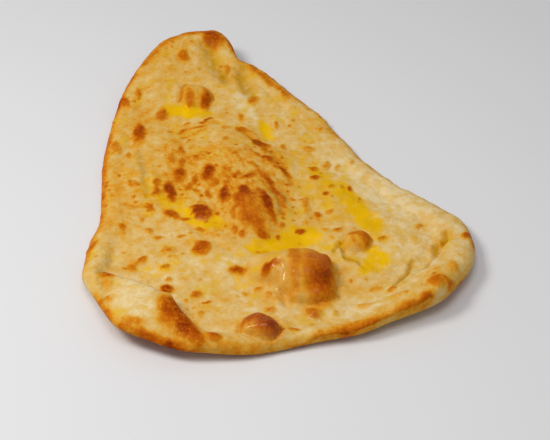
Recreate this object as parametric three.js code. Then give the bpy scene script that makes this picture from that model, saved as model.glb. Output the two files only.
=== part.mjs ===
// A naan: one teardrop-shaped flatbread, baked as a single piece of dough.
// It lies on a flat surface, top side up. Millimetres, +Z up, the pointed end towards +Y.
// The body is one closed surface of four joined stretches: the sheet on top, the rim lofted
// round it, a narrowing strip under the rim, and the flat underside.
import * as THREE from "three";

// Driving dimensions
const sheetThickness = 6.4; // the dough between its bubbles
const sheetWave = 0.7; // how far that thickness wanders
const gridSteps = 50; // cells along each side of the top sheet's grid, an even number
const rimSteps = 11; // cells across the rim, from the sheet over the crest to the underside
const middle = [-14, -32]; // the point that both grids spread out from
const edgeEasing = 0.025; // share of the edge over which the rim's direction is evened out

// Cross-sections of the rim, from the sheet over the crest and round to the underside.
// Each pair is [share of the rim's breadth, inwards], [share of its height].
// The first pair's height is left to the sheet that it joins.
const rimSections = {
  rounded: [[1, 0], [0.78, 0.97], [0.54, 1], [0.28, 0.92], [0.09, 0.68], [0, 0.38], [0.07, 0.12], [0.3, 0]],
  plump: [[1, 0], [0.84, 0.6], [0.64, 0.88], [0.42, 1], [0.15, 0.86], [0, 0.46], [0.08, 0.12], [0.32, 0]],
  upturned: [[1, 0], [0.76, 0.6], [0.48, 0.8], [0.21, 1], [0.06, 0.9], [0, 0.54], [0.05, 0.16], [0.28, 0]],
  folded: [[1, 0], [0.84, 0.42], [0.88, 0.78], [0.7, 1], [0.36, 0.84], [0, 0.38], [0.07, 0.08], [0.3, 0]],
};

// Stations round the edge, anticlockwise from the tip: where the edge is, its cross-section,
// and how broad and tall the rim stands there.
const stations = [
  { at: [-52, 158], rim: "rounded", broad: 17, tall: 7.8 },
  { at: [-71, 153], rim: "rounded", broad: 17, tall: 7.8 },
  { at: [-86, 142], rim: "rounded", broad: 16, tall: 7.4 },
  { at: [-97, 122], rim: "rounded", broad: 16, tall: 7 },
  { at: [-106, 97], rim: "rounded", broad: 15, tall: 6.8 },
  { at: [-111, 69], rim: "rounded", broad: 15, tall: 6.8 },
  { at: [-114, 37], rim: "rounded", broad: 15, tall: 6.8 },
  { at: [-114, 11], rim: "rounded", broad: 15, tall: 6.8 },
  { at: [-112, -18], rim: "rounded", broad: 15, tall: 7 },
  { at: [-111, -42], rim: "rounded", broad: 15, tall: 7.2 },
  { at: [-115, -61], rim: "rounded", broad: 16, tall: 7.8 },
  { at: [-116, -82], rim: "rounded", broad: 16, tall: 9 },
  { at: [-115, -98], rim: "plump", broad: 17, tall: 11 },
  { at: [-108, -112], rim: "folded", broad: 26, tall: 14 },
  { at: [-101, -127], rim: "folded", broad: 37, tall: 16 },
  { at: [-92, -142], rim: "folded", broad: 42, tall: 17 },
  { at: [-75, -151], rim: "folded", broad: 40, tall: 16.5 },
  { at: [-57, -157], rim: "folded", broad: 27, tall: 14 },
  { at: [-41, -157], rim: "plump", broad: 17, tall: 11 },
  { at: [-20, -156], rim: "rounded", broad: 15, tall: 9.5 },
  { at: [0, -151], rim: "rounded", broad: 15, tall: 9 },
  { at: [20, -146], rim: "upturned", broad: 18, tall: 8.5 },
  { at: [43, -142], rim: "upturned", broad: 25, tall: 8.8 },
  { at: [61, -134], rim: "upturned", broad: 30, tall: 11.5 },
  { at: [78, -127], rim: "upturned", broad: 32, tall: 14.5 },
  { at: [90, -120], rim: "upturned", broad: 31, tall: 16 },
  { at: [101, -106], rim: "plump", broad: 29, tall: 15.5 },
  { at: [110, -91], rim: "plump", broad: 27, tall: 15 },
  { at: [114, -74], rim: "plump", broad: 26, tall: 14 },
  { at: [113, -56], rim: "plump", broad: 24, tall: 12 },
  { at: [107, -39], rim: "rounded", broad: 21, tall: 9.8 },
  { at: [93, -25], rim: "rounded", broad: 18, tall: 8 },
  { at: [79, -12], rim: "rounded", broad: 16, tall: 7.2 },
  { at: [65, 4], rim: "rounded", broad: 15, tall: 6.8 },
  { at: [53, 21], rim: "rounded", broad: 15, tall: 6.8 },
  { at: [39, 48], rim: "rounded", broad: 15, tall: 6.9 },
  { at: [28, 68], rim: "rounded", broad: 15, tall: 7.2 },
  { at: [11, 89], rim: "rounded", broad: 15, tall: 7.5 },
  { at: [-4, 109], rim: "rounded", broad: 14, tall: 7.8 },
  { at: [-18, 121], rim: "rounded", broad: 12, tall: 7.8 },
  { at: [-26, 125], rim: "rounded", broad: 10, tall: 7 },
  { at: [-30, 132], rim: "rounded", broad: 12, tall: 7.4 },
  { at: [-34, 146], rim: "rounded", broad: 15, tall: 7.8 },
  { at: [-41, 155], rim: "rounded", broad: 17, tall: 8 },
];

// Bubbles that steam blew between the skin and the crumb, and the hollows beside them.
// size holds the half-axes, turn is in degrees from +X, and a lower crisp gives steeper sides.
const bubbles = [
  { at: [-25, -8], size: [60, 38], turn: 87, tall: 5, crisp: 1.7 }, // the broad swell of the middle
  { at: [-17, -38], size: [33, 23], turn: 84, tall: 4.5, crisp: 1.5 },
  { at: [-34, 24], size: [30, 24], turn: -57, tall: 2.5, crisp: 1.5 },
  { at: [12, -97], size: [22, 22], turn: 0, tall: 12, crisp: 1.3 }, // the largest
  { at: [-2, -92], size: [18, 15], turn: -15, tall: 3, crisp: 1.3 }, // its lower left shoulder
  { at: [45, -67], size: [12, 12], turn: 0, tall: 6, crisp: 1.4 },
  { at: [-12, -139], size: [14, 13], turn: 0, tall: 8, crisp: 1.4 }, // dark, by the front rim
  { at: [-56, 83], size: [14, 13], turn: 0, tall: 5.5, crisp: 1.4 },
  { at: [-49, -36], size: [13, 9], turn: -40, tall: 2.6, crisp: 1.5 },
  { at: [-44, 114], size: [20, 8], turn: -50, tall: -1.8, crisp: 2 },
  { at: [-24, 96], size: [24, 7], turn: 78, tall: -1.8, crisp: 2 },
  { at: [86, -80], size: [24, 8], turn: 62, tall: -1.8, crisp: 2 },
  { at: [-2, -64], size: [20, 8], turn: 25, tall: -1, crisp: 2 },
];

// Ends of the bread that curl up off the table, away from a line through "from".
const curls = [
  { from: [-30, 38], towards: [-0.17, 0.985], reach: 120, tall: 14, bend: 1.7 }, // the tip
  { from: [-58, -108], towards: [-0.6, -0.8], reach: 38, tall: 5.5, bend: 1.5 }, // the folded corner
  { from: [62, -98], towards: [0.62, -0.78], reach: 40, tall: 5.5, bend: 1.5 }, // the upturned corner
];

function liftAt(x, y) {
  let lift = 0;
  for (const { from, towards, reach, tall, bend } of curls) {
    const along = ((x - from[0]) * towards[0] + (y - from[1]) * towards[1]) / reach;
    if (along > 0) lift += tall * along ** bend;
  }
  return lift;
}

function bubblesAt(x, y) {
  let rise = 0;
  for (const { at, size, turn, tall, crisp } of bubbles) {
    const a = THREE.MathUtils.degToRad(turn);
    const dx = x - at[0];
    const dy = y - at[1];
    const u = (dx * Math.cos(a) + dy * Math.sin(a)) / size[0];
    const v = (dy * Math.cos(a) - dx * Math.sin(a)) / size[1];
    const inside = 1 - u * u - v * v;
    if (inside > 0) rise += tall * inside ** crisp;
  }
  return rise;
}

function doughAt(x, y) {
  const wave = Math.sin(x / 15 + 1) * Math.cos(y / 19) + 0.5 * Math.sin((x + y) / 9);
  return sheetThickness + sheetWave * wave;
}

const sheetTop = (x, y) => doughAt(x, y) + bubblesAt(x, y) + liftAt(x, y);

// The edge, as one closed curve.
const edge = new THREE.CatmullRomCurve3(
  stations.map(({ at }) => new THREE.Vector3(at[0], at[1], 0)),
  true,
  "centripetal",
);
edge.arcLengthDivisions = 2000;

// One rail for each point of the cross-sections, running round the edge beside it as
// [inwards, up, share of the height].
const rails = rimSections.rounded.map((_, k) => {
  const beside = stations.map(({ rim, broad, tall }) => {
    const [inwards, up] = rimSections[rim][k];
    return new THREE.Vector3(inwards * broad, up * tall, up);
  });
  return new THREE.CatmullRomCurve3(beside, true, "catmullrom");
});

// A column of the rim at a share of the edge's length: from the sheet, over the crest, to
// the underside.
function rimColumn(share) {
  const outer = edge.getPointAt(share);
  const behind = edge.getPointAt((share + 1 - edgeEasing) % 1);
  const along = edge.getPointAt((share + edgeEasing) % 1).sub(behind);
  const inward = new THREE.Vector2(-along.y, along.x).normalize(); // the edge runs anticlockwise
  const t = edge.getUtoTmapping(share);
  const controls = rails.map((rail, k) => {
    const beside = rail.getPoint(t);
    const x = outer.x + inward.x * beside.x;
    const y = outer.y + inward.y * beside.x;
    const z = k === 0 ? sheetTop(x, y) : beside.y + liftAt(x, y) + beside.z * bubblesAt(x, y);
    return new THREE.Vector3(x, y, z);
  });
  return new THREE.CatmullRomCurve3(controls, false, "centripetal").getPoints(rimSteps);
}

// A square of side 2 is rounded to a disc, then the disc is stretched to a ring of points.
const discOf = (u, v) => [u * Math.sqrt(1 - (v * v) / 2), v * Math.sqrt(1 - (u * u) / 2)];

// Quarter turns anticlockwise from the disc's lower left, where the square's first corner goes.
const quartersOf = (p, q) => (Math.atan2(q, p) / (Math.PI / 2) + 5.5) % 4;

function stretchToRing(u, v, ring, height) {
  const [p, q] = discOf(u, v);
  const far = Math.hypot(p, q);
  const quarters = quartersOf(p, q);
  const side = Math.floor(quarters);
  const along = (Math.SQRT2 * Math.sin(((quarters - side - 0.5) * Math.PI) / 2) + 1) / 2;
  const place = ((side + along) * ring.length) / 4;
  const a = ring[Math.floor(place) % ring.length];
  const b = ring[(Math.floor(place) + 1) % ring.length];
  const share = place - Math.floor(place);
  const x = middle[0] + far * (a.x + (b.x - a.x) * share - middle[0]);
  const y = middle[1] + far * (a.y + (b.y - a.y) * share - middle[1]);
  return new THREE.Vector3(x, y, height(x, y));
}

class Surface {
  constructor() {
    this.points = [];
    this.faces = [];
  }
  add(point) {
    return this.points.push(point) - 1;
  }
  quad(a, b, c, d) {
    const p = this.points;
    if (p[a].distanceTo(p[c]) < p[b].distanceTo(p[d])) {
      this.faces.push([a, b, c], [a, c, d]);
    } else {
      this.faces.push([a, b, d], [b, c, d]);
    }
  }
  // Fills a ring of 4 * steps points, anticlockwise seen from above, with a square grid.
  fill(ring, steps, height, facesDown) {
    const corners = ring.map((index) => this.points[index]);
    const at = (i, j) => {
      if (j === 0) return ring[i];
      if (i === steps) return ring[steps + j];
      if (j === steps) return ring[3 * steps - i];
      if (i === 0) return ring[(4 * steps - j) % (4 * steps)];
      return inner[i - 1][j - 1];
    };
    const across = Array.from({ length: steps - 1 }, (_, i) => (2 * (i + 1)) / steps - 1);
    const inner = across.map((u) => across.map((v) => this.add(stretchToRing(u, v, corners, height))));
    for (let i = 0; i < steps; i++) {
      for (let j = 0; j < steps; j++) {
        const cell = [at(i, j), at(i + 1, j), at(i + 1, j + 1), at(i, j + 1)];
        this.quad(...(facesDown ? cell.reverse() : cell));
      }
    }
  }
  geometry() {
    const made = new THREE.BufferGeometry().setFromPoints(this.points);
    made.setIndex(this.faces.flat());
    return made;
  }
}

// Where the border of the square grid falls on the disc, as shares of a whole turn.
function borderShares(steps) {
  const shares = [];
  for (let k = 0; k < 4 * steps; k++) {
    const side = Math.floor(k / steps);
    const along = (2 * (k % steps)) / steps - 1;
    const [u, v] = [[along, -1], [1, along], [-along, 1], [-1, -along]][side];
    shares.push(quartersOf(...discOf(u, v)) / 4);
  }
  return shares;
}

function naanGeometry() {
  const surface = new Surface();
  const around = 4 * gridSteps;
  const addColumn = (share) => rimColumn(share).map((point) => surface.add(point));
  const columns = borderShares(gridSteps).map(addColumn);

  // The sheet inside the rim, then the rim.
  surface.fill(columns.map((column) => column[0]), gridSteps, sheetTop, false);
  for (let k = 0; k < around; k++) {
    const here = columns[k];
    const next = columns[(k + 1) % around];
    for (let j = 0; j < rimSteps; j++) surface.quad(here[j], here[j + 1], next[j + 1], next[j]);
  }

  // Under the rim, every second column goes on inwards to the underside's own coarser ring.
  const underRing = [];
  for (let k = 0; k < around; k += 2) {
    const { x, y } = surface.points[columns[k][0]];
    underRing.push(surface.add(new THREE.Vector3(x, y, liftAt(x, y))));
  }
  for (let i = 0; i < underRing.length; i++) {
    const outer = [0, 1, 2].map((step) => columns[(2 * i + step) % around][rimSteps]);
    const inner = [underRing[i], underRing[(i + 1) % underRing.length]];
    surface.faces.push([outer[0], inner[0], outer[1]]);
    surface.faces.push([outer[1], inner[0], inner[1]]);
    surface.faces.push([outer[1], inner[1], outer[2]]);
  }
  surface.fill(underRing, gridSteps / 2, liftAt, true);
  return surface.geometry();
}

const crust = new THREE.MeshStandardMaterial({ color: 0xdcb066, roughness: 0.62, metalness: 0 });

const geometry = naanGeometry();
geometry.computeBoundingBox();
const { min, max } = geometry.boundingBox;
geometry.translate(-(min.x + max.x) / 2, -(min.y + max.y) / 2, -min.z);
geometry.computeVertexNormals();

const naan = new THREE.Mesh(geometry, crust);
naan.name = "naan_bread";

const part = new THREE.Group();
part.add(naan);

export default part;
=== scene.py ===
# A naan bread on a pale floor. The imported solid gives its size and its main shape.
# This script adds the finer bubbles, creases and blisters, the scorch spots and the butter.
import math

import bmesh
import bpy
import numpy as np
from mathutils import Matrix, Vector
from mathutils.kdtree import KDTree


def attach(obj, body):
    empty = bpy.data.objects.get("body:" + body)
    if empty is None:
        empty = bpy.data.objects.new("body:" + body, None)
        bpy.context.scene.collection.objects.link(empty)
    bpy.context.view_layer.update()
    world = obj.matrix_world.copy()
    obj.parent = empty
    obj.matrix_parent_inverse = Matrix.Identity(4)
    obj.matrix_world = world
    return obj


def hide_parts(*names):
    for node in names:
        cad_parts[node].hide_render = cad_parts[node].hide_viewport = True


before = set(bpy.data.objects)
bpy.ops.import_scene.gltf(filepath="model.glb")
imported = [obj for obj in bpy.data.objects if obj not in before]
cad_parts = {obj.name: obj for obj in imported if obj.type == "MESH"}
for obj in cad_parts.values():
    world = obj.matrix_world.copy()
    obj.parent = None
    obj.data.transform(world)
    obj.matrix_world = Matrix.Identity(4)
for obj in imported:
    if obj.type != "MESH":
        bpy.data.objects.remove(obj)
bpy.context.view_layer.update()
mm = 0.001  # shapes and places below are in millimetres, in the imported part's frame


# Camera, floor and light

view = {
    "place": (-3, -684, 527),
    "down": 39.1,  # degrees below the horizon
    "roll": -0.5,
    "lens": 89.2,
}

studio = {
    "floorSize": 3000,
    "floorDrop": 0.2,  # keeps the floor off the bread's flat underside
    "floorColour": (222, 222, 223),
    "floorRoughness": 0.55,
    "roomColour": (246, 246, 248),
    "roomStrength": 0.38,
    # name: place, aim, width, power and colour
    "lights": {
        "leftWindow": ((-620, -120, 850), (0, -20, 0), 320, 5.6, (255, 253, 248)),
        "frontSoftbox": ((-40, -330, 950), (0, -20, 0), 450, 2.6, (252, 252, 255)),
    },
}


def linear(colour):  # a colour as people pick it, 0 to 255, for a shader socket
    shares = [c / 255 for c in colour]
    return tuple(s / 12.92 if s <= 0.04045 else ((s + 0.055) / 1.055) ** 2.4 for s in shares)


def addCamera():
    data = bpy.data.cameras.new("camera")
    data.lens = view["lens"]
    data.sensor_width = 36
    camera = bpy.data.objects.new("camera", data)
    bpy.context.scene.collection.objects.link(camera)
    tilt = Matrix.Rotation(math.radians(90 - view["down"]), 4, "X")
    roll = Matrix.Rotation(math.radians(view["roll"]), 4, "Z")
    camera.matrix_world = Matrix.Translation(Vector(view["place"]) * mm) @ tilt @ roll
    bpy.context.scene.camera = camera
    bpy.context.scene.view_settings.view_transform = "Standard"


def addStudio():
    half = studio["floorSize"] * mm / 2
    drop = -studio["floorDrop"] * mm
    mesh = bpy.data.meshes.new("floor")
    corners = [(-half, -half, drop), (half, -half, drop), (half, half, drop), (-half, half, drop)]
    mesh.from_pydata(corners, [], [(0, 1, 2, 3)])
    floor = bpy.data.objects.new("floor", mesh)
    bpy.context.scene.collection.objects.link(floor)
    paint = bpy.data.materials.new("paleFloor")
    paint.use_nodes = True
    shader = paint.node_tree.nodes["Principled BSDF"]
    shader.inputs["Base Color"].default_value = (*linear(studio["floorColour"]), 1)
    shader.inputs["Roughness"].default_value = studio["floorRoughness"]
    mesh.materials.append(paint)
    room = bpy.data.worlds.new("room")
    room.use_nodes = True
    backdrop = room.node_tree.nodes["Background"]
    backdrop.inputs["Color"].default_value = (*linear(studio["roomColour"]), 1)
    backdrop.inputs["Strength"].default_value = studio["roomStrength"]
    bpy.context.scene.world = room
    for name, (place, aim, width, power, colour) in studio["lights"].items():
        data = bpy.data.lights.new(name, "AREA")
        data.size = width * mm
        data.energy = power
        data.color = linear(colour)
        light = bpy.data.objects.new(name, data)
        bpy.context.scene.collection.objects.link(light)
        light.location = Vector(place) * mm
        light.rotation_euler = (Vector(aim) - Vector(place)).to_track_quat("-Z", "Y").to_euler()


addCamera()
addStudio()
print("camera, floor and lights are in place")


# The dough's shape

dough = {
    "levels": 2,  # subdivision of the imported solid's grid
    # The uneven skin: how wide the lumps are, how tall, and a seed
    "lumps": ((30, 0.9, 1), (13, 0.55, 2), (6, 0.3, 3)),
    # The solid's blunt bubbles, taken away: x, y, half-axes, turn, height, crispness
    "blunt": (
        (12.9, -97.3, 22, 22, 0, 12, 1.3), (-1.1, -92.3, 18, 15, -15, 3, 1.3),
        (45.9, -67.3, 12, 12, 0, 6, 1.4), (-11.1, -139.3, 14, 13, 0, 8, 1.4),
        (-55.1, 82.7, 14, 13, 0, 5.5, 1.4),
    ),
    # The steep bubbles in their place: x, y, half-axes, turn, height, squareness, uprightness
    # A squareness of 2 is an ellipse, and a smaller uprightness gives steeper sides
    "steep": (
        (12, -95, 19, 17.5, 0, 14, 2.2, 0.5), (-3, -90, 17.5, 12.5, -12, 9, 2, 0.6),
        (17, -105, 14.5, 14, 0, 8.5, 3.2, 0.5),
        (45.5, -66, 9, 9, 0, 5.5, 2.2, 0.7), (-12, -139, 11, 9.5, 0, 8, 2.3, 0.6),
        (-56, 85, 11, 10, 0, 5.5, 2.4, 0.6),
    ),
    "crown": 2.4,  # a larger number makes the steep bubbles' tops flatter
    "merging": 2.5,  # how sharply neighbouring bubbles meet
    "groove": 0.7,  # depth of the groove round each steep bubble's foot
    "grooveRing": (1.12, 0.1),  # how far out it runs and how wide it is, in the bubble's half-axes
    "grooveFull": 6,  # the height from which a bubble has its full groove
    "thinSkin": (1.15, 0.85),  # a bubble's thin skin grows from the first to the second, in half-axes
    "thinLumps": 0.7,  # how much of the lumps the thin skin loses
    "thinBlisters": 0.6,  # and how much of the blisters
    # How far each place is shifted, so that no spot is a perfect ellipse: size, reach, seeds for X and Y
    "wander": ((11, 1.5, (21, 23)), (5, 0.5, (22, 24))),
    "ragged": ((2.8, 0.6, (25, 26)),),  # the same for the nicks in the scorch spots' edges
    "spotDarkAndPaintedLight": (0.96, 0.2),  # how dark a spot is, and how much paler towards its front right, a painted light side on its blister
    "spotEdge": (0.62, 4.5),  # how soon a spot fades out, and how sharply
    "blister": (0.4, 0.14, 5),  # a spot's height: the least, the gain with its width, the widest that counts
    "blisterFoot": (1.15, 0.8),  # how far out it reaches, and how upright its side is
    "creaseLip": (0.35, 1.6),  # the raised lip beside a crease: share of its depth, and widths out
    "poolEdge": 1.7,  # where butter and wet places end, in their half-sizes
    "poolDepth": 0.4,  # how far butter lies below the skin round it
    "crust": (0.85, 0.4, 8, 31),  # the browned edge: strength, unevenness, patch size and seed
    "turnedUnder": 0.12,  # how much paler the bake is where the edge turns under
    "below": 0.3,  # how toasted the underside is
    "belowPatches": ((14, 0.35, 41), (5, 0.2, 42)),  # its patches: size, strength and seed
    # Creases and wrinkles in the skin: width, depth, olive tint, browning, and points. The olive tint is
    # partly the dough's own olive tone and partly painted shade down in the crease
    "creases": {
        "leftGroove": (2.5, 0.9, 0.4, 0, ((-88, 29), (-86, 11), (-84, -5), (-81, -20))),
        "domeRight": (1.8, 0.5, 0.2, 0.3, ((-27, 52), (-19, 41), (-11, 31), (-4, 21), (3, 6), (8, -10))),
        "domeInner": (1.8, 0.5, 0, 0.45, ((-20, -5), (-13, 1), (-7, -8), (-2, -21), (2, -39))),
        "domeTop": (1.8, 0.5, 0, 0.35, ((-65, 48), (-58, 52), (-52, 54), (-45, 58), (-39, 57))),
        "domeTopLower": (1.6, 0.4, 0, 0.35, ((-63, 43), (-54, 47), (-47, 53))),
        "domeFoot": (3.5, 0.7, 0, 0, ((-54, -48), (-39, -65), (-26, -75))),
        "tip": (4.5, 1.0, 0.75, 0, ((-50, 137), (-47, 127), (-41, 115), (-36, 105))),
        "notch": (4, 1.0, 0.75, 0, ((-26, 117), (-25, 106), (-22, 96), (-19, 86))),
        "tipBubbleFoot": (1.6, 0.6, 0.3, 0.5, ((-63, 97), (-66, 89), (-66, 81))),
        "rightBubbleFoot": (1.3, 0.8, 0.8, 0.25, ((37, -74), (40, -81), (45, -84), (51, -88))),
        "rightLine": (1.3, 1.1, 1, 0.25, ((77, -81), (75, -89), (73, -94), (68, -101), (65, -106))),
        "rightFold": (1.7, 1.9, 1, 0.2, ((92, -69), (91, -78), (89, -84), (85, -91), (83, -97))),
        "rightCorner": (1.5, 1.6, 1, 0.4, ((98, -61), (96, -69), (94, -73))),
        "rimInside": (2.4, 0.6, 0.2, 0, ((98, -64), (89, -83), (81, -93), (66, -105))),
        "valley": (2.8, 2, 0, 0, ((0, -96), (1, -103), (2, -111), (4, -120))),
        "ropeUpper": (1.3, 0.8, 0.9, 0.2, ((31, -74), (34, -68), (36, -65))),
        "ropeLower": (1.3, 0.8, 0.9, 0.2, ((34, -68), (37, -73), (39, -79))),
        "leftWrinkle": (1.6, 0.4, 0, 0.3, ((-98, -25), (-89, -28), (-80, -29))),
        "leftWrinkleLower": (1.6, 0.4, 0, 0.25, ((-96, -33), (-88, -37), (-78, -38))),
        "frontRidge": (
            4.4, -0.3, 0, 0.76,
            ((20, -148), (38, -143), (50, -139.5), (61, -136), (70, -132), (77, -129), (83, -127)),
        ),
        "tipRim": (3.5, 0, 0, 0.55, ((-93, 119), (-83, 138), (-70, 148), (-53, 152))),
        "notchRim": (3, 0, 0, 0.6, ((-20, 117), (-8, 105), (6, 87))),
        "flapFold": (1.6, 0.7, 0.8, 0, ((-104, -97), (-102, -107), (-101, -114), (-99, -121))),
        "flapRim": (3.5, -0.3, 0, 0.75, ((-106, -125), (-97, -142), (-84, -154), (-67, -161))),
        "flapLip": (3, 0, 0, 0.5, ((-66, -124), (-59, -127), (-54, -135), (-49, -144), (-44, -152))),
    },
    # Scorch spots where small blisters touched the heat: x, y, half-length, half-width, turn, darkness
    "scorch": {
        "tip": (
            (-46, 145, 9, 6.5, -55, 0.9), (-66, 127, 6, 4, -85, 0.7), (-104, 81, 7, 3.5, -78, 0.8),
            (-95, 88, 5, 2.5, -84, 0.5), (-78, 68, 7, 4, -85, 0.7), (-92, 47, 11, 4, -85, 0.9),
            (-106, 33, 7, 3, -84, 0.5), (-97, 25, 4, 2, -83, 0.45), (-60, 80, 8, 3, -87, 0.6),
            (-49, 78, 10, 3, -88, 0.85), (-17, 82, 5.5, 4, -88, 0.7), (-35, 115, 4, 2, -88, 0.5),
        ),
        "dome": (
            (-63, 28, 5, 2, -85, 0.6), (-63, 15, 5, 2, -85, 0.65), (-63, 3, 7, 3.5, -85, 0.8),
            (-53, 19, 4, 2, -85, 0.65), (-45, 2, 8, 3.5, -85, 1.0), (-53, -4, 4, 1.7, -85, 0.6),
            (-56, -11, 4, 1.7, 90, 0.6), (-44, -20, 5, 1.7, -85, 0.55), (-34, -23, 7.5, 3, -88, 1.0),
            (-34, -12, 4, 2, -85, 0.5), (-40, -9, 4, 1.8, -90, 0.6), (-22, -23, 7, 3.5, -80, 0.95),
            (-26, -31, 7, 2, -85, 0.65), (-18, -35, 16, 6.5, -70, 0.3), (-13, -40, 14, 4, -68, 0.25),
            (-21, -47, 9, 4, -85, 0.6), (-14, -52, 7, 3.5, -80, 0.65), (-8, -34, 13, 3, -76, 1.0),
            (-6, -8, 8, 1.8, -70, 0.8), (-19, -6, 5, 2.5, 20, 0.7), (-13, 35, 7, 3.2, -40, 1.0),
            (-10, 25, 3, 2, -90, 0.6), (-15, 18, 3, 1.5, -65, 0.6), (-7, 14, 5, 2, -30, 0.8),
            (2, 3, 7, 1.7, -50, 0.9), (-2, -19, 5, 1.7, -70, 0.7), (2, -27, 5, 1.5, -85, 0.5),
            (-48, -38, 8, 5.5, -50, 1.0), (-24, 50, 5, 2, -35, 0.75), (-25, 64, 4, 1.5, -75, 0.5),
            (-34, 53, 3, 1.5, 0, 0.4), (-35, 37, 3, 2, -85, 0.5), (-49, 60, 5, 1.5, 30, 0.9),
            (-61, 57, 3, 1.5, 40, 0.6), (-62, 50, 3, 1.5, 30, 0.5), (-53, 53, 5, 1.2, 25, 0.6),
            (-27, -4, 3, 2, -85, 0.5), (-22, -59, 3, 2.2, -90, 0.7), (-27, -55, 4, 1.8, -90, 0.65),
            (-10, -73, 5, 1.5, 0, 0.6), (1, -49, 2.5, 2, -90, 0.55), (-69, 20, 5, 2.5, -85, 0.3),
            (-68, -15, 9.5, 3, -78, 1.0), (-28, -40, 6, 1.5, -85, 0.5), (-31, -6, 3, 1.3, -80, 0.45),
            (-17, 6, 5, 1.5, -50, 0.45), (-27, 16, 4, 1.5, -60, 0.35), (-4, -46, 5, 1.6, -80, 0.5),
        ),
        "left": (
            (-77, -6, 4.5, 2.5, -86, 0.65), (-77, -15, 4.5, 2.5, -86, 0.65), (-91, -7, 4, 3, -79, 0.4),
            (-80, -31, 4.5, 2.5, -58, 0.7), (-65, -37, 6, 2.5, -41, 0.8), (-57, -42, 3.5, 2, -15, 0.7),
            (-51, -43, 2, 1.5, -60, 0.4), (-96, -50, 3.5, 2, -82, 0.6), (-83, -41, 2, 2, 0, 0.4),
            (-48, -52, 4, 1.8, -25, 0.6), (-79, -53, 3, 2.2, -38, 0.5), (-59, -59, 3, 1.7, 0, 0.6),
            (-72, -59, 3, 1.7, 0, 0.55), (-46, -70, 7, 5, -85, 0.85), (-51, -73, 3, 2, -80, 0.4),
            (-66, -71, 4, 3.5, -14, 0.35),
        ),
        "right": (
            (28, 50, 2.5, 1.5, 87, 0.4), (20, 28, 4, 3, 0, 0.45), (21, 7, 3, 3, 85, 0.75),
            (23, -2, 3, 3, 26, 0.85), (30, 12, 4, 3, 87, 0.55), (37, 9, 3.5, 1.5, 87, 0.5),
            (47, 13, 3, 2, 85, 0.5), (32, -12, 2, 2, 0, 0.6), (28, -18, 2.5, 2.5, 0, 0.7),
            (38, -12, 2, 1.5, 85, 0.6), (43, -13, 3, 2, 85, 0.8), (16, -26, 5, 2.5, 88, 0.5),
            (23, -38, 3, 2.5, 86, 0.75), (31, -35, 2.5, 2, 84, 0.6), (48, -25, 5, 1.2, 87, 0.6),
            (12, -54, 3.5, 3, 87, 0.9), (-2, -59, 2.5, 2, -90, 0.65), (-10, -59, 3.5, 3, -89, 0.8),
            (35, -53, 4, 1.7, 35, 0.65), (60, -62, 3.5, 2.2, 31, 0.7), (28, -53, 2, 2, 0, 0.4),
            (83, -51, 3, 1.7, 83, 0.5), (95, -69, 3, 1.2, 84, 0.7), (17, -34, 4, 2, 90, 0.35),
            (3, 32, 4, 2, 89, 0.5), (-2, 56, 3, 1.5, 90, 0.55), (63, -110, 2.5, 2.5, 83, 0.7),
            (54, -107, 4, 2.5, 1, 0.35), (49, -121, 7, 2.5, 0, 0.4), (65, -119, 6, 2, 0, 0.35),
            (31, -126, 2.5, 2, 80, 0.4), (98, -99, 5, 3, 80, 0.35),
        ),
        "front": (
            (-81, -80, 4, 2.5, 65, 0.7), (-86, -86, 4, 2.5, 83, 0.5), (-61, -78, 2, 1.5, -80, 0.4),
            (-67, -86, 3, 2.5, -77, 0.7), (-25, -89, 5, 4, -4, 0.9), (-65, -97, 2, 2, 0, 0.5),
            (-65, -106, 4.5, 3.5, -80, 0.95), (-48, -110, 3.5, 3, -9, 0.75), (-42, -116, 3, 1, 23, 0.9),
            (-44, -126, 2.5, 2, -83, 0.45), (-20, -109, 2, 2, 0, 0.5), (-12, -106, 2, 2, 0, 0.35),
            (-6, -123, 3, 3, 0, 0.6), (-7, -110, 2, 2, 0, 0.4), (-36, -150, 4, 3.5, -39, 0.75),
            (7, -141, 3, 2.5, 0, 0.7), (17, -126, 5, 4, 1, 0.65), (34, -145, 2.4, 1.5, 20, 1.0),
        ),
        "bubbles": (
            (21, -99, 19, 8.5, 90, 0.6), (24, -108, 9, 6, 88, 0.5), (26, -94, 12, 3, 88, 0.4),
            (8, -98, 19, 3, 88, 0.5), (18, -80, 9, 3, -8, 0.45), (-8, -96, 3.5, 3.5, 60, 0.85),
            (-4, -95, 4, 3, 0, 0.7), (-6, -141, 7, 7, -9, 1.0), (-14, -134, 9, 5, 20, 0.85),
            (51, -67, 7, 3, 86, 0.65), (46, -60, 6, 4, 0, 0.5), (23, -112, 8, 9.5, 0, 0.5),
        ),
        "folds": (
            (-112, -69, 6, 2.5, 60, 0.8), (-98, -101, 6, 4, -10, 0.85), (-98, -109, 6, 3.5, 85, 0.45),
            (-96, -122, 3, 3, -82, 0.55), (-81, -143, 8, 4, -10, 0.6), (-61, -132, 8, 7, -60, 0.75),
            (-58, -141, 10, 8, -45, 0.75), (-53, -145, 7, 4, -55, 0.6), (-48, -151, 9, 5, -45, 0.75),
            (110, -66, 5, 2.5, 52, 0.85), (87, -113, 5, 4, 69, 0.6), (96, -114, 4, 4, 69, 0.6),
            (80, -125, 5, 3, 40, 0.6),
        ),
    },
    # Pools of melted butter: x, y, half-length, half-width, turn, strength
    "butter": (
        (-61, 70, 14, 5.5, -12, 1.0), (-9, 52, 10, 4, -68, 0.9), (-66, -27, 11, 5, -42, 0.7),
        (-47, -44, 11, 5.5, -32, 1.0), (1, -64, 20, 7, 24, 1.0), (11, -57, 11, 7, 15, 0.9),
        (48, -34, 20, 5.5, -67, 1.0), (54, -48, 8, 6, -60, 1.0), (36, -12, 16, 5, -52, 0.5),
        (24, 2, 20, 4, -60, 0.35), (26, -30, 18, 8, -70, 0.25), (56, -82, 9, 5.5, 82, 0.95),
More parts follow.
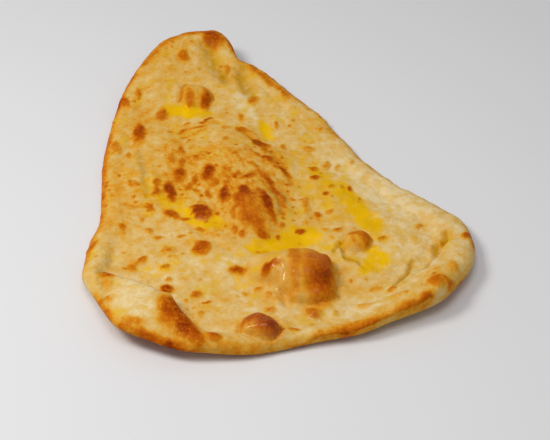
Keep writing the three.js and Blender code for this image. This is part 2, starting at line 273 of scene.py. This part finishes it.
        (50, -89, 6, 4, 30, 0.7), (-82, -13, 14, 3, 84, 0.35), (-71, -88, 9, 5, 30, 0.3),
        (-20, -98, 8, 6, 0, 0.4), (-30, 92, 14, 5, 70, 0.2), (28, -8, 28, 12, -62, 0.3),
        (-80, -8, 8, 16, 0, 0.2), (60, -74, 12, 14, 0, 0.3), (24, -66, 12, 6, 0, 0.4),
        (-60, -84, 16, 9, 0, 0.25),
    ),
    # Where the surface is wet but not stained: x, y, half-length, half-width, turn, strength
    "wet": (
        (1, -109, 15, 6, 88, 1.0), (-12, -143, 13, 8, 0, 0.9), (20, -98, 14, 9, 88, 0.35),
        (-20, -42, 20, 12, 80, 0.3), (2, -128, 20, 7, 20, 0.5), (-84, 62, 14, 7, -50, 0.5),
        (-46, -41, 6, 5, -40, 0.35), (8, -18, 10, 12, 0, 0.35), (14, -134, 14, 5, 20, 0.6),
    ),
    # How baked the skin is, where 0 is pale and 1 is burnt: x, y, half-length, half-width, turn, level
    "plainBake": 0.29,
    "bakedAreas": (
        (-60, 130, 50, 40, 0, 0.34), (-100, 20, 80, 22, 90, 0.4), (25, 10, 42, 24, -60, 0.28),
        # The area at (-22, 74) is a pale stripe of painted highlight beside the tip's creases
        # The area at (78, -78) is darker partly from its bake and partly as painted shade where the skin
        # slopes up to the right rim
        (70, -25, 70, 16, -52, 0.04), (78, -78, 50, 38, -30, 0.18), (-22, 74, 28, 6, -68, 0.14),
        (-80, -122, 38, 22, -35, 0.1), (-40, -92, 50, 22, 0, 0.2), (10, -142, 50, 12, 0, 0.24),
        (50, -118, 30, 11, 25, 0.14), (2, -122, 26, 9, 10, 0.14), (-64, 5, 45, 16, 88, 0.46),
        (-26, -10, 52, 34, 87, 0.5), (8, -99, 26, 23, 0, 0.42), (-12, -139, 13, 11, 0, 0.55),
        (46, -67, 11, 10, 0, 0.5), (-56, 84, 13, 12, 0, 0.45), (92, -108, 16, 12, 40, 0.34),
    ),
    # How brown the outer edge is, where a negative strength is paler: x, y, reach, strength
    "edgeReach": 5.5,  # how far in from the edge the browning goes
    "edgeBrowning": (
        (-60, 150, 45, 0.95), (-108, 90, 30, 0.75), (-114, 10, 60, 0.7), (-112, -60, 30, 0.6),
        (-5, 105, 35, 1.0), (40, 40, 45, 0.4), (70, -10, 30, 0.25), (112, -66, 12, 0.7),
        (15, -150, 22, 0.34), (-25, -156, 30, 0.46), (-70, -148, 26, 0.9), (-95, -130, 20, 0.7),
        (80, -132, 30, -1),
    ),
}

noiseCells = 64  # the smooth noise repeats after this many lumps


def softNoise(x, y, size, seed):  # a smooth field from about -1 to 1, with lumps of that size
    turns = np.random.default_rng(seed).uniform(0, 2 * np.pi, (noiseCells, noiseCells))
    u, v = x / size, y / size
    i, j = np.floor(u).astype(int), np.floor(v).astype(int)
    fu, fv = u - i, v - j

    def corner(di, dj):
        turn = turns[(i + di) % noiseCells, (j + dj) % noiseCells]
        return np.cos(turn) * (fu - di) + np.sin(turn) * (fv - dj)

    su, sv = [f**3 * (f * (f * 6 - 15) + 10) for f in (fu, fv)]
    low = corner(0, 0) * (1 - su) + corner(1, 0) * su
    high = corner(0, 1) * (1 - su) + corner(1, 1) * su
    return 1.5 * (low * (1 - sv) + high * sv)


def turned(dx, dy, turn):  # the same place along and across a line turned from +X
    angle = math.radians(turn)
    along = dx * math.cos(angle) + dy * math.sin(angle)
    return along, dy * math.cos(angle) - dx * math.sin(angle)


def farFrom(x, y, place, size, turn):  # 0 at the ellipse's middle and 1 on its edge
    along, across = turned(x - place[0], y - place[1], turn)
    return np.hypot(along / size[0], across / size[1])


def distanceToLine(x, y, points):
    nearest = np.full(len(x), np.inf)
    for (ax, ay), (bx, by) in zip(points, points[1:]):
        dx, dy = bx - ax, by - ay
        share = np.clip(((x - ax) * dx + (y - ay) * dy) / (dx * dx + dy * dy), 0, 1)
        nearest = np.minimum(nearest, np.hypot(x - ax - share * dx, y - ay - share * dy))
    return nearest


def distanceToRim(points, normals):  # seen from above, from the nearest upright stretch of skin
    upright = points[np.abs(normals[:, 2]) < 0.3]
    tree = KDTree(len(upright))
    for number, (x, y, z) in enumerate(upright):
        tree.insert((x, y, 0), number)
    tree.balance()
    return np.array([tree.find((x, y, 0))[2] for x, y, z in points])


def ramp(value, start, end):  # a smooth step from 0 at start to 1 at end
    share = np.clip((value - start) / (end - start), 0, 1)
    return share * share * (3 - 2 * share)


def denseCopy(node, levels):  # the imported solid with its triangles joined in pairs, made smooth and fine
    mesh = node.data.copy()
    shape = bmesh.new()
    shape.from_mesh(mesh)
    bmesh.ops.remove_doubles(shape, verts=shape.verts, dist=1e-6)
    flat = math.radians(70)
    bmesh.ops.join_triangles(
        shape, faces=shape.faces, angle_face_threshold=flat, angle_shape_threshold=flat
    )
    shape.to_mesh(mesh)
    shape.free()
    mesh.materials.clear()
    rough = bpy.data.objects.new("roughDough", mesh)
    bpy.context.scene.collection.objects.link(rough)
    smooth = rough.modifiers.new("subdivision", "SUBSURF")
    smooth.levels = levels
    smooth.render_levels = levels
    bpy.context.view_layer.update()
    evaluated = rough.evaluated_get(bpy.context.evaluated_depsgraph_get())
    dense = bpy.data.meshes.new_from_object(evaluated)
    bpy.data.objects.remove(rough)
    return dense


def readMesh(mesh):
    count = len(mesh.vertices)
    points = np.empty(count * 3)
    normals = np.empty(count * 3)
    mesh.vertices.foreach_get("co", points)
    mesh.vertices.foreach_get("normal", normals)
    return points.reshape(-1, 3) / mm, normals.reshape(-1, 3)


def shifted(x, y, waves):  # each place, moved a little by smooth noise
    moveX = sum(reach * softNoise(x, y, size, seeds[0]) for size, reach, seeds in waves)
    moveY = sum(reach * softNoise(x, y, size, seeds[1]) for size, reach, seeds in waves)
    return x + moveX, y + moveY


def spotsAt(x, y):  # how scorched the skin is, and how far its blisters stand up
    x, y = shifted(x, y, dough["ragged"])
    clean = np.ones(len(x))
    rise = np.zeros(len(x))
    shade, paintedLightPaling = dough["spotDarkAndPaintedLight"]
    fade, crisp = dough["spotEdge"]
    least, gain, widest = dough["blister"]
    reach, upright = dough["blisterFoot"]
    for group in dough["scorch"].values():
        for px, py, length, width, turn, darkness in group:
            far = farFrom(x, y, (px, py), (length, width), turn)
            # painted light: each scorch spot is painted paler on its front right, standing for the light on
            # that side of its blister
            frontRight = np.clip((x - px - y + py) / (length + width), -0.2, 1)
            clean *= 1 - darkness * (shade - paintedLightPaling * frontRight) * np.exp(-fade * far**crisp)
            tall = least + gain * min(width, widest)
            rise = np.maximum(rise, tall * np.clip(1 - (far / reach) ** 2, 0, 1) ** upright)
    return 1 - clean, rise


def creasesAt(x, y):  # the creases' height, olive tint and browning; the olive tint is partly painted shade in the creases
    height, oliveAndPaintedShade, brown = np.zeros((3, len(x)))
    lip, lipGap = dough["creaseLip"]
    for width, depth, tint, browning, line in dough["creases"].values():
        gap = distanceToLine(x, y, line) / width
        height += depth * (lip * np.exp(-((gap - lipGap) ** 2)) - np.exp(-gap * gap))
        oliveAndPaintedShade = np.maximum(oliveAndPaintedShade, tint * np.exp(-gap * gap))
        brown = np.maximum(brown, browning * np.exp(-gap * gap))
    return height, oliveAndPaintedShade, brown


def poolsAt(x, y, places):  # how much butter or wetness lies at each place
    dry = np.ones(len(x))
    for px, py, length, width, turn, strength in places:
        far = farFrom(x, y, (px, py), (length, width), turn)
        dry *= 1 - strength * np.clip(dough["poolEdge"] - far, 0, 1)
    return 1 - dry


def steepBubble(x, y, bubble):  # its height, and how far out from its middle each place is
    px, py, length, width, turn, rise, square, upright = bubble
    along, across = turned(x - px, y - py, turn)
    far = (np.abs(along / length) ** square + np.abs(across / width) ** square) ** (1 / square)
    return rise * np.clip(1 - far ** dough["crown"], 0, 1) ** upright, far


def bubblesAt(x, y):  # how far the bubbles stand above the solid's blunt ones
    blunt = np.zeros(len(x))
    for px, py, length, width, turn, rise, crispness in dough["blunt"]:
        far = farFrom(x, y, (px, py), (length, width), turn)
        blunt += rise * np.clip(1 - far * far, 0, 1) ** crispness
    x, y = shifted(x, y, dough["wander"])
    merged, foot = np.zeros((2, len(x)))
    ring, ringWidth = dough["grooveRing"]
    for bubble in dough["steep"]:
        height, far = steepBubble(x, y, bubble)
        merged += height ** dough["merging"]
        rise = bubble[5]
        groove = min(rise / dough["grooveFull"], 1) * np.exp(-(((far - ring) / ringWidth) ** 2))
        foot = np.maximum(foot, groove)
    merged = merged ** (1 / dough["merging"])
    return merged - blunt - dough["groove"] * foot * ramp(merged, 2, 0)


def thinSkinAt(x, y):  # 1 on the steep bubbles, whose stretched skin is smooth
    outside, inside = dough["thinSkin"]
    return np.max([ramp(steepBubble(x, y, b)[1], outside, inside) for b in dough["steep"]], axis=0)


def shapeDough(mesh):  # moves the skin, and gives what lies where on it
    points, normals = readMesh(mesh)
    x, y = points[:, 0], points[:, 1]
    upper = ramp(normals[:, 2], 0.1, 0.7)
    height = sum(tall * softNoise(x, y, size, seed) for size, tall, seed in dough["lumps"])
    bubbles = bubblesAt(x, y)
    x, y = shifted(x, y, dough["wander"])
    toast, blisters = spotsAt(x, y)
    folds, oliveAndPaintedShade, brown = creasesAt(x, y)
    pools = poolsAt(x, y, dough["butter"])
    thin = thinSkinAt(x, y)
    height = height * (1 - dough["thinLumps"] * thin) + blisters * (1 - dough["thinBlisters"] * thin)
    height += folds - dough["poolDepth"] * pools
    points += normals * (height * upper)[:, None]
    points[:, 2] += bubbles * upper
    mesh.vertices.foreach_set("co", (points * mm).ravel())
    mesh.update()
    wet = poolsAt(x, y, dough["wet"])
    toast = 1 - (1 - toast) * (1 - brown)
    return {"toast": toast, "oliveAndPaintedShade": oliveAndPaintedShade, "butter": pools, "wet": wet, "thin": thin}


def paintDough(mesh, fields):  # stores how baked, scorched, buttery and wet each place is
    points, normals = readMesh(mesh)
    x, y = shifted(points[:, 0], points[:, 1], dough["wander"])
    upper = ramp(normals[:, 2], -0.1, 0.35)
    bake = np.full(len(x), dough["plainBake"])
    for px, py, length, width, turn, level in dough["bakedAreas"]:
        far = farFrom(x, y, (px, py), (length, width), turn)
        bake += (level - bake) * ramp(far, 1.3, 0.5)
    browned, paler = np.zeros((2, len(x)))
    for px, py, reach, strength in dough["edgeBrowning"]:
        near = ramp(np.hypot(x - px, y - py) / reach, 1.5, 0.4)
        browned = np.maximum(browned, strength * near)
        paler = np.maximum(paler, -strength * near)
    side = ramp(normals[:, 2], 0.55, 0.2)  # the upright edge
    low = ramp(normals[:, 2], 0.1, -0.3)  # where it turns under
    rim = np.maximum(side, ramp(distanceToRim(points, normals), dough["edgeReach"], 0.5))
    strong, uneven, size, seed = dough["crust"]
    crust = rim * browned * (strong + uneven * softNoise(x, y, size, seed))
    bake -= dough["turnedUnder"] * side * paler
    patches = sum(strength * softNoise(x, y, size, seed) for size, strength, seed in dough["belowPatches"])
    below = dough["below"] + patches
    fields = {name: values * upper for name, values in fields.items()}
    top = fields["toast"] * (1 - low * side * paler) + (1 - upper) * below
    fields["toast"] = np.maximum(top, crust)
    fields["bake"] = bake
    for name, values in fields.items():
        layer = mesh.attributes.new(name, "FLOAT", "POINT")
        layer.data.foreach_set("value", np.clip(values, 0, 1).astype(np.float32))


# Helpers that add nodes to one tree, for the relief and the skin

def wiring(tree):
    add, link = tree.nodes.new, tree.links.new

    def feed(socket, value):  # a number is set on the socket, and anything else is linked to it
        if isinstance(value, (int, float)):
            socket.default_value = value
        else:
            link(value, socket)

    def maths(operation, a, b, clamp=False):
        node = add("ShaderNodeMath")
        node.operation = operation
        node.use_clamp = clamp
        feed(node.inputs[0], a)
        feed(node.inputs[1], b)
        return node.outputs[0]

    def spread(value, low, high, start=0.0, end=1.0):  # a smooth step from start at low to end at high
        node = add("ShaderNodeMapRange")
        node.interpolation_type = "SMOOTHSTEP"
        numbers = (value, low, high, start, end)
        for name, number in zip(("Value", "From Min", "From Max", "To Min", "To Max"), numbers):
            feed(node.inputs[name], number)
        return node.outputs["Result"]

    return add, link, maths, spread


# Fine relief that follows the skin: small blisters and wrinkles, on the upper side

relief = {
    "blisterSpacing": 9.0,
    "blisterHeight": 0.4,
    "wrinkleSize": 3.6,
    "wrinkleHeight": 0.45,
    "rippleSize": 2.2,
    "rippleHeight": 0.25,  # on wet places, where it breaks up the shine
    "seed": 7,
}


def addFineRelief(piece, material):
    tree = bpy.data.node_groups.new("fineRelief", "GeometryNodeTree")
    sockets = tree.interface
    sockets.new_socket("Geometry", in_out="INPUT", socket_type="NodeSocketGeometry")
    sizes = {
        "Blister spacing": relief["blisterSpacing"] * mm,
        "Blister height": relief["blisterHeight"] * mm,
        "Wrinkle size": relief["wrinkleSize"] * mm,
        "Wrinkle height": relief["wrinkleHeight"] * mm,
        "Ripple size": relief["rippleSize"] * mm,
        "Ripple height": relief["rippleHeight"] * mm,
        "Seed": float(relief["seed"]),
    }
    for name in sizes:
        sockets.new_socket(name, in_out="INPUT", socket_type="NodeSocketFloat")
    sockets.new_socket("Material", in_out="INPUT", socket_type="NodeSocketMaterial")
    sockets.new_socket("Geometry", in_out="OUTPUT", socket_type="NodeSocketGeometry")
    add, link, maths, spread = wiring(tree)
    entry = add("NodeGroupInput")
    out = add("NodeGroupOutput")

    position = add("GeometryNodeInputPosition").outputs[0]
    normal = add("GeometryNodeInputNormal").outputs[0]
    cells = add("ShaderNodeTexVoronoi")
    cells.voronoi_dimensions = "4D"
    link(position, cells.inputs["Vector"])
    link(entry.outputs["Seed"], cells.inputs["W"])
    link(maths("DIVIDE", 1, entry.outputs["Blister spacing"]), cells.inputs["Scale"])
    domes = spread(cells.outputs["Distance"], 0.5, 0.1)
    blisters = maths("MULTIPLY", domes, entry.outputs["Blister height"])

    def waves(size, tall, detail):
        node = add("ShaderNodeTexNoise")
        node.noise_dimensions = "4D"
        link(position, node.inputs["Vector"])
        link(entry.outputs["Seed"], node.inputs["W"])
        link(maths("DIVIDE", 1, entry.outputs[size]), node.inputs["Scale"])
        node.inputs["Detail"].default_value = detail
        centred = maths("SUBTRACT", node.outputs["Fac"], 0.5)
        return maths("MULTIPLY", maths("MULTIPLY", centred, 2), entry.outputs[tall])

    def named(name):
        node = add("GeometryNodeInputNamedAttribute")
        node.data_type = "FLOAT"
        node.inputs["Name"].default_value = name
        return node.outputs["Attribute"]

    wrinkles = waves("Wrinkle size", "Wrinkle height", 3)
    ripples = maths("MULTIPLY", waves("Ripple size", "Ripple height", 1), named("wet"))
    split = add("ShaderNodeSeparateXYZ")
    link(normal, split.inputs[0])
    upper = spread(split.outputs["Z"], 0.0, 0.5)
    smooth = spread(named("thin"), 1.5, 0.0)
    height = maths("MULTIPLY", maths("ADD", blisters, wrinkles), smooth)
    height = maths("MULTIPLY", maths("ADD", height, ripples), upper)
    offset = add("ShaderNodeVectorMath")
    offset.operation = "SCALE"
    link(normal, offset.inputs[0])
    link(height, offset.inputs["Scale"])
    move = add("GeometryNodeSetPosition")
    link(entry.outputs["Geometry"], move.inputs["Geometry"])
    link(offset.outputs[0], move.inputs["Offset"])
    realize = add("GeometryNodeRealizeInstances")
    link(move.outputs[0], realize.inputs[0])
    finish = add("GeometryNodeSetMaterial")
    link(realize.outputs[0], finish.inputs["Geometry"])
    link(entry.outputs["Material"], finish.inputs["Material"])
    link(finish.outputs[0], out.inputs[0])

    modifier = piece.modifiers.new("fineRelief", "NODES")
    modifier.node_group = tree
    for item in tree.interface.items_tree:
        if item.name in sizes:
            modifier[item.identifier] = sizes[item.name]
        elif item.name == "Material":
            modifier[item.identifier] = material
    evaluated = piece.evaluated_get(bpy.context.evaluated_depsgraph_get())
    plain = bpy.data.meshes.new_from_object(evaluated)
    piece.modifiers.remove(modifier)
    piece.data = plain


# The baked skin

skin = {
    # colours from pale to burnt
    "baked": (
        (0.0, (224, 199, 147)), (0.15, (218, 184, 116)), (0.35, (214, 167, 79)),
        (0.5, (214, 149, 42)), (0.65, (203, 124, 18)), (0.8, (188, 98, 4)),
        (0.92, (166, 74, 0)), (1.0, (138, 52, 0)),
    ),
    # the creases' olive, partly the dough's own tone and partly painted shade down in them
    "oliveAndPaintedShade": (178, 130, 4),
    "butter": (235, 184, 0),
    "butterDeep": (220, 169, 0),  # where the butter lies thicker
    "clouds": (17, 0.45),  # size in mm and strength
    "mottle": (6.5, 0.7),
    "speckle": (2.4, 0.4),
    "grain": (0.9, 0.22),
    "streaks": (2.9, 0.7),  # on the well-baked middle, drawn out along its own blisters
    "streakTurn": -73,
    "streakStretch": 2.8,
    "freckles": (6.5, 0.3),  # spacing in mm and strength
    "yellowed": (216, 174, 40),  # where butter has soaked right in
    "dryRoughness": 0.5,
    "wetRoughness": 0.16,
    "specular": 0.03,
    "uneven": 0.3,  # how much the roughness varies
    "butterEdge": 1.2,  # how ragged the butter's edge is
    "butterCover": 0.98,  # how much of the skin's own colour the butter hides
    "butterGloss": 0.06,
    "scorchGloss": 0.04,
    "wetCoat": 0.5,
    "coatRoughness": 0.12,
    "coatIor": 1.45,
    "bump": (0.8, 0.45),  # strength, and depth in mm
    "subsurface": (0.1, 1.5),  # weight, and depth in mm
    "subsurfaceRadius": (1.0, 0.55, 0.25),
}


def makeSkin():
    material = bpy.data.materials.new("bakedDough")
    material.use_nodes = True
    tree = material.node_tree
    add, link, maths, spread = wiring(tree)
    shader = tree.nodes["Principled BSDF"]

    def attribute(name):
        node = add("ShaderNodeAttribute")
        node.attribute_name = name
        return node.outputs["Fac"]

    def noise(size, detail=2.0, roughness=0.5, start=None):
        node = add("ShaderNodeTexNoise")
        link(start or place, node.inputs["Vector"])
        node.inputs["Scale"].default_value = 1 / (size * mm)
        node.inputs["Detail"].default_value = detail
        node.inputs["Roughness"].default_value = roughness
        return node.outputs["Fac"]

    def blend(share, a, b):
        node = add("ShaderNodeMix")
        node.data_type = "RGBA"
        link(share, node.inputs["Factor"])
        for socket, value in zip((node.inputs[6], node.inputs[7]), (a, b)):
            if isinstance(value, tuple):
                socket.default_value = (*linear(value), 1)
            else:
                link(value, socket)
        return node.outputs[2]

    def rampOf(value, stops):
        node = add("ShaderNodeValToRGB")
        band = node.color_ramp
        while len(band.elements) < len(stops):
            band.elements.new(0.5)
        for element, (at, colour) in zip(band.elements, stops):
            element.position = at
            element.color = (*linear(colour), 1)
        link(value, node.inputs["Fac"])
        return node.outputs["Color"]

    place = add("ShaderNodeTexCoord").outputs["Object"]
    toast, bake, oliveAndPaintedShade = attribute("toast"), attribute("bake"), attribute("oliveAndPaintedShade")
    butterPools, wetness = attribute("butter"), attribute("wet")
    clouds = noise(skin["clouds"][0], 2)
    mottle = noise(skin["mottle"][0], 3)
    speckle = noise(skin["speckle"][0], 2, 0.6)
    grain = noise(skin["grain"][0], 2)
    drawn = add("ShaderNodeMapping")
    drawn.vector_type = "TEXTURE"
    link(place, drawn.inputs["Vector"])
    drawn.inputs["Rotation"].default_value = (0, 0, math.radians(skin["streakTurn"]))
    drawn.inputs["Scale"].default_value = (skin["streakStretch"], 1, 1)
    streaks = noise(skin["streaks"][0], 2, 0.5, drawn.outputs["Vector"])

    # How baked each place is, from the broad areas, four sizes of noise, the freckles and the scorch spots
    level = bake
    calm = spread(attribute("thin"), 0, 1, 1, 0.5)
    patterns = {"clouds": clouds, "mottle": mottle, "speckle": speckle, "grain": grain}
    for name, pattern in patterns.items():
        share = maths("MULTIPLY", maths("SUBTRACT", pattern, 0.5), skin[name][1])
        level = maths("ADD", level, maths("MULTIPLY", share, calm))
    share = maths("MULTIPLY", maths("SUBTRACT", streaks, 0.5), skin["streaks"][1])
    level = maths("ADD", level, maths("MULTIPLY", share, spread(bake, 0.38, 0.5)))
    cells = add("ShaderNodeTexVoronoi")
    link(place, cells.inputs["Vector"])
    cells.inputs["Scale"].default_value = 1 / (skin["freckles"][0] * mm)
    dots = maths("MULTIPLY", spread(cells.outputs["Distance"], 0.34, 0.12), skin["freckles"][1])
    dots = maths("MULTIPLY", dots, spread(noise(11, 1), 0.42, 0.6))
    dots = maths("MULTIPLY", dots, spread(attribute("thin"), 0.6, 0))
    level = maths("ADD", level, maths("MULTIPLY", dots, spread(bake, 0.05, 0.3)))
    broken = maths("MULTIPLY", toast, spread(speckle, 0.2, 0.6, 0.78, 1.08), clamp=True)
    unbaked = maths("SUBTRACT", 1, level, clamp=True)
    level = maths("ADD", level, maths("MULTIPLY", broken, unbaked), clamp=True)
    colour = rampOf(level, skin["baked"])
    soaked = maths("MULTIPLY", spread(noise(13, 2), 0.52, 0.72), spread(level, 0.6, 0.4, 0, 0.6))
    colour = blend(soaked, colour, skin["yellowed"])
    # olive in the creases, partly the dough's own tone and partly painted shade
    colour = blend(maths("MULTIPLY", oliveAndPaintedShade, spread(mottle, 0.3, 0.6, 0.5, 0.95)), colour, skin["oliveAndPaintedShade"])

    # Melted butter soaks in and stains it yellow
    ragged = maths("ADD", butterPools, maths("MULTIPLY", maths("SUBTRACT", mottle, 0.5), skin["butterEdge"]))
    stain = maths("MULTIPLY", spread(ragged, 0.05, 1.0), spread(level, 0.85, 0.45))
    yellow = blend(spread(clouds, 0.35, 0.65), skin["butter"], skin["butterDeep"])
    colour = blend(maths("MULTIPLY", stain, skin["butterCover"]), colour, yellow)
    link(colour, shader.inputs["Base Color"])

    # A film of butter makes it shine, most of all on the wet places
    film = maths("MAXIMUM", maths("MULTIPLY", stain, skin["butterGloss"]), spread(wetness, 0.1, 0.8))
    film = maths("MAXIMUM", film, maths("MULTIPLY", toast, skin["scorchGloss"]))
    gloss = spread(film, 0, 1, skin["dryRoughness"], skin["wetRoughness"])
    uneven = maths("MULTIPLY", maths("SUBTRACT", speckle, 0.5), skin["uneven"])
    link(maths("ADD", gloss, uneven), shader.inputs["Roughness"])
    bump = add("ShaderNodeBump")
    bump.inputs["Strength"].default_value = skin["bump"][0]
    bump.inputs["Distance"].default_value = skin["bump"][1] * mm
    link(maths("ADD", speckle, maths("MULTIPLY", grain, 0.5)), bump.inputs["Height"])
    link(bump.outputs["Normal"], shader.inputs["Normal"])
    shader.inputs["Specular IOR Level"].default_value = skin["specular"]
    link(maths("MULTIPLY", film, skin["wetCoat"]), shader.inputs["Coat Weight"])
    shader.inputs["Coat Roughness"].default_value = skin["coatRoughness"]
    shader.inputs["Coat IOR"].default_value = skin["coatIor"]
    shader.inputs["Subsurface Weight"].default_value = skin["subsurface"][0]
    shader.inputs["Subsurface Radius"].default_value = skin["subsurfaceRadius"]
    shader.inputs["Subsurface Scale"].default_value = skin["subsurface"][1] * mm
    return material


def makeNaan():
    mesh = denseCopy(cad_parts["naan_bread"], dough["levels"])
    fields = shapeDough(mesh)
    print("the dough has its bubbles, blisters and creases")
    paintDough(mesh, fields)
    print("the bake, the scorch spots and the butter are laid out")
    mesh.name = "naanSurface"
    mesh.shade_smooth()
    naan = bpy.data.objects.new("naanSurface", mesh)
    bpy.context.scene.collection.objects.link(naan)
    material = makeSkin()
    addFineRelief(naan, material)
    naan.data.shade_smooth()
    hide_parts("naan_bread")
    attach(naan, "root")
    return naan


naan = makeNaan()
print("the naan has", len(naan.data.polygons), "faces")
